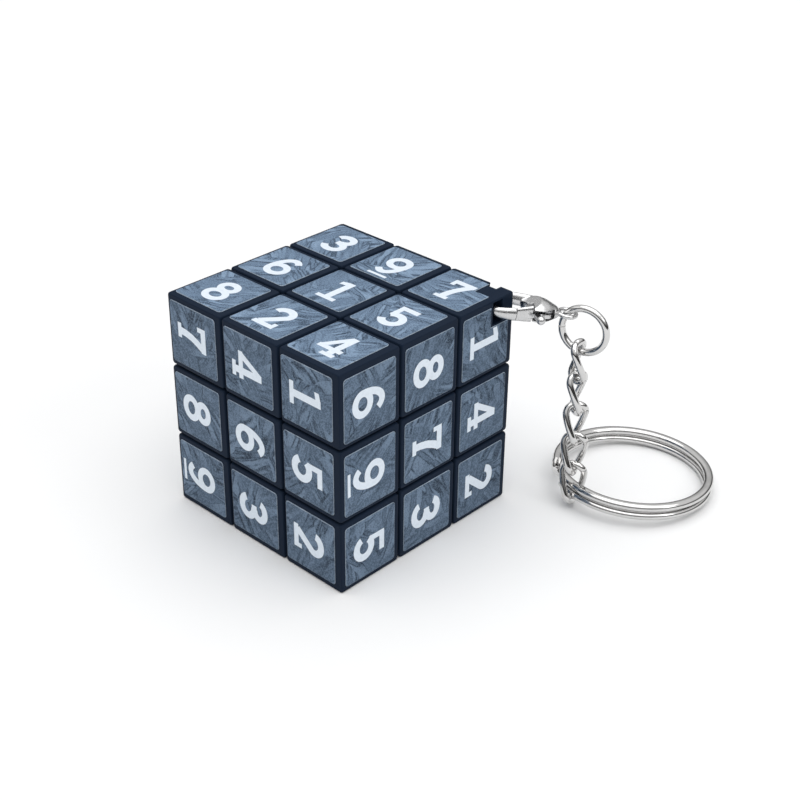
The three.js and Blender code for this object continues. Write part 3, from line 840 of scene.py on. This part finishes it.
profile = wire(
    "dome", [(DOME_START + s * DOME_LENGTH, w * BODY_WIDTH / 2, 0) for s, w in DOME_PROFILE],
    0, smooth_path=True,
)
only(profile)
bpy.ops.object.mode_set(mode="EDIT")
bpy.ops.mesh.select_all(action="SELECT")
bpy.ops.mesh.spin(steps=64, angle=2 * math.pi, center=(0, 0, 0), axis=(1, 0, 0))
bpy.ops.mesh.select_all(action="SELECT")
bpy.ops.mesh.remove_doubles(threshold=2e-6)
bpy.ops.mesh.normals_make_consistent(inside=False)
bpy.ops.object.mode_set(mode="OBJECT")
profile.scale.z = 2 * BODY_HEIGHT / BODY_WIDTH
dome = apply_place(profile)
cutters = [
    block((-FAR, -FAR, -TALL), (FAR, FAR, -BODY_DEPTH)),
    bar(THROAT_RADIUS, -TALL, TALL),
    block((0, -THROAT_RADIUS, -TALL), (THROAT - THROAT_RADIUS, THROAT_RADIUS, TALL)),
    bar(THROAT_RADIUS, -TALL, TALL, x=THROAT - THROAT_RADIUS),
    block((0, -FAR, -TALL), (MOUTH_END, MOUTH_SIDE, TALL)),
    block((0, -FAR, SLOT_FLOOR), (SLOT_END, SLOT_SIDE, SLOT_ROOF)),
    moved(
        block((-FAR, -FAR, 0), (FAR, FAR, TALL)),
        Matrix.Translation(SLOPE_START) @ turned("Y", -SLOPE_ANGLE),
    ),
]
for cutter in cutters:
    cut_away(dome, cutter)
print("dome:", len(dome.data.polygons), "faces")

# %% Bend the hook, add the eye and cast the body
HOOK_FLATNESS, HOOK_NARROWING, HOOK_EVEN_FROM = 1.44, 0.5, 0.6
hook_line = [(THROAT + HOOK_WIRE, HOOK_RADIUS - HOOK_TAPER, 0), (THROAT / 2, HOOK_RADIUS, 0)]
hook_line += [(x, y, 0) for x, y in bow((0, 0), (HOOK_RADIUS, HOOK_RADIUS), 90, 270, 8)]
hook_line += [(HOOK_TIP + HOOK_TAPER, -HOOK_RADIUS, 0)]
hook = wire("hook", hook_line, HOOK_WIRE / 2, smooth_path=True)
hook.scale.z = HOOK_FLATNESS
apply_place(hook)
finish_with(
    hook, "SIMPLE_DEFORM", deform_method="TAPER", deform_axis="X", factor=HOOK_NARROWING,
    limits=(0, HOOK_EVEN_FROM), lock_y=True,
)
gate_space = block((-GATE_LENGTH - SEAM, -HOOK_WIRE, -TALL), (0, HOOK_WIRE, TALL))
cut_away(hook, moved(gate_space, gate_place))
eye_ring = bow((CLASP_REACH, 0), (EYE_RADIUS, EYE_RADIUS), 0, 360, 64)[:-1]
eye = wire("eye", [(x, y, 0) for x, y in eye_ring], EYE_WIRE / 2 - EYE_POLISH, closed=True)
clasp_body = cast(joined("clasp_body_cast", dome, hook, eye), voxel_mm=0.055, passes=16)
moved(clasp_body, clasp_place)
stand_for(clasp_body, "clasp_body", "clasp", satin)

# %% [markdown]
# ## The gate of the clasp
#
# The gate is a tapered arm with a small thumb knob, held by a hub on the pin. It is joined from a
# flattened cone, two blocks, a bar and a ball, bored for the pin, and cast like the body.

# %% Model the gate
GATE_HEIGHT, GATE_TIP, GATE_THICKNESS = 2.6, 2.0, 0.9
HUB_RADIUS, HUB_BASE, HUB_TOP, BORE_RADIUS = 0.9, -0.45, 0.15, 0.65
KNOB_RADIUS, KNOB_STALK, KNOB_BACK, KNOB_REACH = 0.65, 0.9, 1.6, 1.8
thin = GATE_THICKNESS / 2
arm = bar(GATE_HEIGHT / 2, GATE_ROOT - thin, GATE_LENGTH, tip=GATE_TIP / 2)
moved(arm, turned("Y", -90))
arm.scale.y = GATE_THICKNESS / GATE_HEIGHT
apply_place(arm)
body_space = block((MOUTH_END - SEAM, -FAR, -TALL), (FAR, FAR, TALL))
cut_away(arm, moved(body_space, gate_place.inverted()))
neck = block((-GATE_ROOT - thin, -thin, HUB_BASE), (0, thin, HUB_TOP))
hub = bar(HUB_RADIUS, HUB_BASE, HUB_TOP)
stalk = block(
    (-KNOB_BACK - KNOB_STALK / 2, -KNOB_REACH, HUB_BASE), (-KNOB_BACK + KNOB_STALK / 2, 0, HUB_TOP)
)
bpy.ops.object.select_all(action="DESELECT")
bpy.ops.mesh.primitive_uv_sphere_add(
    segments=32, ring_count=16, radius=KNOB_RADIUS * MM,
    location=(-KNOB_BACK * MM, -KNOB_REACH * MM, (HUB_BASE + HUB_TOP) / 2 * MM),
)
knob = apply_place(bpy.context.object)
gate = cast(joined("clasp_gate_cast", arm, neck, hub, stalk, knob), voxel_mm=0.04, passes=5)
cut_away(gate, bar(BORE_RADIUS, -BODY_HEIGHT, BODY_HEIGHT))
smooth(gate)
moved(gate, clasp_place @ gate_place)
stand_for(gate, "clasp_gate", "gate", satin)

# %% [markdown]
# ## The jump ring and the chain
#
# The jump ring and the links are bent from round wire, so each is a curve with a round section.
# The ring stays open by a narrow slit. A link is an oval whose two ends are turned a quarter turn
# against each other, which makes the chain lie flat.

# %% Bend the jump ring
JUMP_RADIUS, JUMP_WIRE, JUMP_TURN, JUMP_SLIT = 3.45, 1.1, 14, 0.25
JUMP_SLIT_ANGLE, JUMP_EYE_ANGLE, JUMP_CHAIN_ANGLE = 180, 143, 260
JUMP_STEPS = 96
ring_side = turned("Z", JUMP_TURN) @ X


def on_ring(angle):
    """A place on the jump ring, from its middle."""
    a = math.radians(angle)
    return JUMP_RADIUS * (math.cos(a) * ring_side + math.sin(a) * Z)


jump_centre = clasp_place @ Vector((CLASP_REACH, 0, 0)) - on_ring(JUMP_EYE_ANGLE)
slit = math.degrees(JUMP_SLIT / JUMP_RADIUS / 2)
ring_start, ring_sweep = JUMP_SLIT_ANGLE + slit, 360 - 2 * slit
jump_angles = [ring_start + ring_sweep * i / JUMP_STEPS for i in range(JUMP_STEPS + 1)]
jump_line = [jump_centre + on_ring(angle) for angle in jump_angles]
jump_ring = smooth(wire("jump_ring_wire", jump_line, JUMP_WIRE / 2))
stand_for(jump_ring, "jump_ring", "jump_ring", nickel)

# %% Bend the links
LINK_LENGTH, LINK_WIDTH, LINK_WIRE, LINK_TWIST, LINK_CLEARANCE = 7.36, 4.3, 1.05, 90, 0.25
LINK_TURNS = (88, 68, 44, 25, 17)
CHAIN_LEAN, CHAIN_LEAN_TOWARDS = 4.2, -27
LINK_REACH = (LINK_LENGTH - LINK_WIRE) / 2
LINK_END = (LINK_WIDTH - LINK_WIRE) / 2
SIDE_STEPS, END_STEPS = 20, 32


def link_line():
    """The middle line of one link, centred, with its length upright."""
    straight = LINK_REACH - LINK_END
    rise = [(LINK_END, -straight + 2 * straight * i / SIDE_STEPS) for i in range(SIDE_STEPS)]
    bend = bow((0, straight), (LINK_END, LINK_END), 0, 180, END_STEPS)[:-1]
    line = []
    for side in (1, -1):
        for across, height in rise + bend:
            point = Vector((across * side, 0, height * side))
            line.append(turned("Z", -LINK_TWIST * point.z / (2 * LINK_REACH)) @ point)
    return line


lean_axis = turned("Z", CHAIN_LEAN_TOWARDS - 90) @ X
chain_start = jump_centre + on_ring(JUMP_CHAIN_ANGLE)
chain_place = Matrix.Translation(chain_start) @ turned(lean_axis, CHAIN_LEAN)
hang = Z * (JUMP_WIRE - LINK_WIRE) / 2
for index, turn in enumerate(LINK_TURNS, start=1):
    hang += Z * (LINK_WIRE + LINK_CLEARANCE - LINK_REACH)
    node = f"chain_link_{index}"
    link = wire(node + "_wire", link_line(), LINK_WIRE / 2, closed=True)
    moved(link, chain_place @ Matrix.Translation(hang) @ turned("Z", turn + LINK_TWIST / 2))
    stand_for(smooth(link), node, node, nickel)
    hang -= Z * LINK_REACH
seat = chain_place @ hang

# %% [markdown]
# ## The split ring
#
# The key ring is one length of flattened wire, wound twice. Near one place the wire steps from the
# lower coil to the upper one. A small rounded rectangle is the section, and the curve carries it
# with its flat side level. Like the eye, the wire loses a little to polishing.

# %% Line and section of the split ring
RING_DIAMETER, RING_WIDTH, RING_THICKNESS, RING_COIL_GAP = 25.2, 1.65, 1.2, 0.2
RING_DIRECTION, RING_JOG_ANGLE, RING_JOG_PLACE = 76, 22, 155
RING_SECTION_ROUND, RING_POLISH = 0.55, 0.07
RING_RADIUS = (RING_DIAMETER - RING_WIDTH) / 2
RING_STEPS = 320


def coil_line():
    """The middle line of the wire: almost two turns, with a step between them."""
    turn = 720 - RING_JOG_ANGLE
    line = []
    for index in range(RING_STEPS + 1):
        angle = turn * index / RING_STEPS
        share = min(max((angle - 360 + RING_JOG_ANGLE) / RING_JOG_ANGLE, 0), 1)
        climb = share * share * (3 - 2 * share)
        place = math.radians(angle + RING_JOG_PLACE + RING_JOG_ANGLE / 2)
        height = (climb - 0.5) * (RING_THICKNESS + RING_COIL_GAP)
        line.append((RING_RADIUS * math.cos(place), RING_RADIUS * math.sin(place), height))
    return line


def wire_section(width, height, round_mm):
    """A closed flat curve: a rectangle with round corners."""
    points = []
    for start, sx, sy in ((0, 1, 1), (90, -1, 1), (180, -1, -1), (270, 1, -1)):
        middle = (sx * (width / 2 - round_mm), sy * (height / 2 - round_mm))
        points += bow(middle, (round_mm, round_mm), start, start + 90, 5)
    curve = bpy.data.curves.new("section", "CURVE")
    curve.dimensions = "2D"
    spline = curve.splines.new("POLY")
    spline.points.add(len(points) - 1)
    for knot, (x, y) in zip(spline.points, points):
        knot.co = (x * MM, y * MM, 0, 1)
    spline.use_cyclic_u = True
    section = bpy.data.objects.new("section", curve)
    bpy.context.scene.collection.objects.link(section)
    return section


print("split ring:", RING_DIAMETER, "mm across, in", RING_STEPS, "steps")

# %% Wind the split ring
ring_low = seat.z + LINK_WIRE / 2 + LINK_CLEARANCE
ring_tilt = math.degrees(math.asin(ring_low / (2 * RING_RADIUS + RING_WIDTH / 2)))
section = wire_section(
    RING_WIDTH - 2 * RING_POLISH, RING_THICKNESS - RING_POLISH, RING_SECTION_ROUND
)
split_ring = wire("split_ring_wire", coil_line(), 0, section=section)
bpy.data.objects.remove(section, do_unlink=True)
ring_height = ring_low + RING_THICKNESS + RING_COIL_GAP / 2
ring_place = Matrix.Translation((seat.x, seat.y, ring_height)) @ turned("Z", RING_DIRECTION)
moved(split_ring, ring_place @ turned("Y", ring_tilt) @ Matrix.Translation((RING_RADIUS, 0, 0)))
smooth(split_ring, SMOOTH_ANGLE)
stand_for(split_ring, "split_ring", "split_ring", nickel)

# %% [markdown]
# ## The pieces inside
#
# The core, the screws, the springs and the centre stems stay as the CAD made them, because the
# cubies hide them. They still get a real finish, for the moment when someone takes the cube apart.

# %% Finish the inner pieces
INNER = {"core_spider": core_plastic, "clasp_pin": nickel, "clasp_spring": steel}
for face in FACES:
    INNER["screw_" + face] = INNER["spring_" + face] = steel
    INNER["centre_" + face] = cube_plastic
for node, finish in INNER.items():
    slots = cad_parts[node].material_slots
    slots[0].link = "OBJECT"
    slots[0].material = finish
print("inner pieces:", len(INNER))

# %% [markdown]
# ## Floor, light and background
#
# A pale floor, an even sky, one wide soft sun and two softboxes light the cube as a product table
# does. The sky is pure white for the camera, so that the background shows white, and a little
# dimmer for the light that falls on the object. Polished metal needs something dark to mirror, or
# it looks like chalk. So reflections see a sky that is dark just above the horizon and bright
# overhead.

# %% Lay the floor
FLOOR_SIZE, FLOOR_CLOUD = 6, 400
bpy.ops.object.select_all(action="DESELECT")
bpy.ops.mesh.primitive_plane_add(size=FLOOR_SIZE)
floor = bpy.context.object
floor.name = "floor"
floor_finish = Finish("pale_floor", Roughness=0.9)
floor_tone = floor_finish.noise(floor_finish.place(), FLOOR_CLOUD)
floor_finish.drive(
    "Base Color", floor_finish.blend(floor_tone, rgba(0.93, 0.935, 0.94), rgba(0.95, 0.95, 0.95))
)
paint(floor, floor_finish.material)
print("floor:", FLOOR_SIZE, "m")

# %% Light the sky
class Sky(Finish):
    """The world's nodes, with the same helpers as a material."""

    def __init__(self):
        world = bpy.data.worlds.new("studio")
        bpy.context.scene.world = world
        world.use_nodes = True
        self.tree = world.node_tree
        self.shader = self.tree.nodes["Background"]


SKY_LIGHT, SKY_DARK, SKY_BRIGHT = 0.45, 0.05, 0.85
DARK_BELOW, BRIGHT_ABOVE = (math.sin(math.radians(degrees)) for degrees in (12, 32))
sky = Sky()
height = sky.node("SeparateXYZ", values={0: sky.node("TexCoord", output="Generated")}, output="Z")
mirrored = sky.between(height, DARK_BELOW, BRIGHT_ABOVE, SKY_DARK, SKY_BRIGHT)
glossy = sky.node("LightPath", output="Is Glossy Ray")
camera_ray = sky.node("LightPath", output="Is Camera Ray")
lit = SKY_LIGHT + glossy * (mirrored - SKY_LIGHT)
sky.drive("Strength", lit + camera_ray * (1.0 - lit))
sky.drive("Color", rgba(1, 1, 1))
print("sky light:", SKY_LIGHT)

# %% Hang the lamps
def lamp(name, kind, place, aim, power):
    """A lamp at a place, in metres, that points at another."""
    bpy.ops.object.light_add(type=kind, location=place)
    light = bpy.context.object
    light.name = name
    light.data.energy = power
    light.rotation_euler = (Vector(aim) - Vector(place)).to_track_quat("-Z", "Y").to_euler()
    return light.data


sun = lamp("sun", "SUN", place=(0.06, -0.03, 1.0), aim=(0, 0, 0), power=1.9)
sun.angle = math.radians(75)
left_box = lamp("left_box", "AREA", place=(-0.35, -0.35, 0.45), aim=(0, 0, 0.02), power=0.09)
left_box.size = 0.25
right_box = lamp("right_box", "AREA", place=(0.5, 0.1, 0.4), aim=(0.02, 0.02, 0.02), power=0.33)
right_box.size = 0.2
bpy.context.scene.view_settings.view_transform = "Standard"
print("lamps:", sun.energy, left_box.energy, right_box.energy)
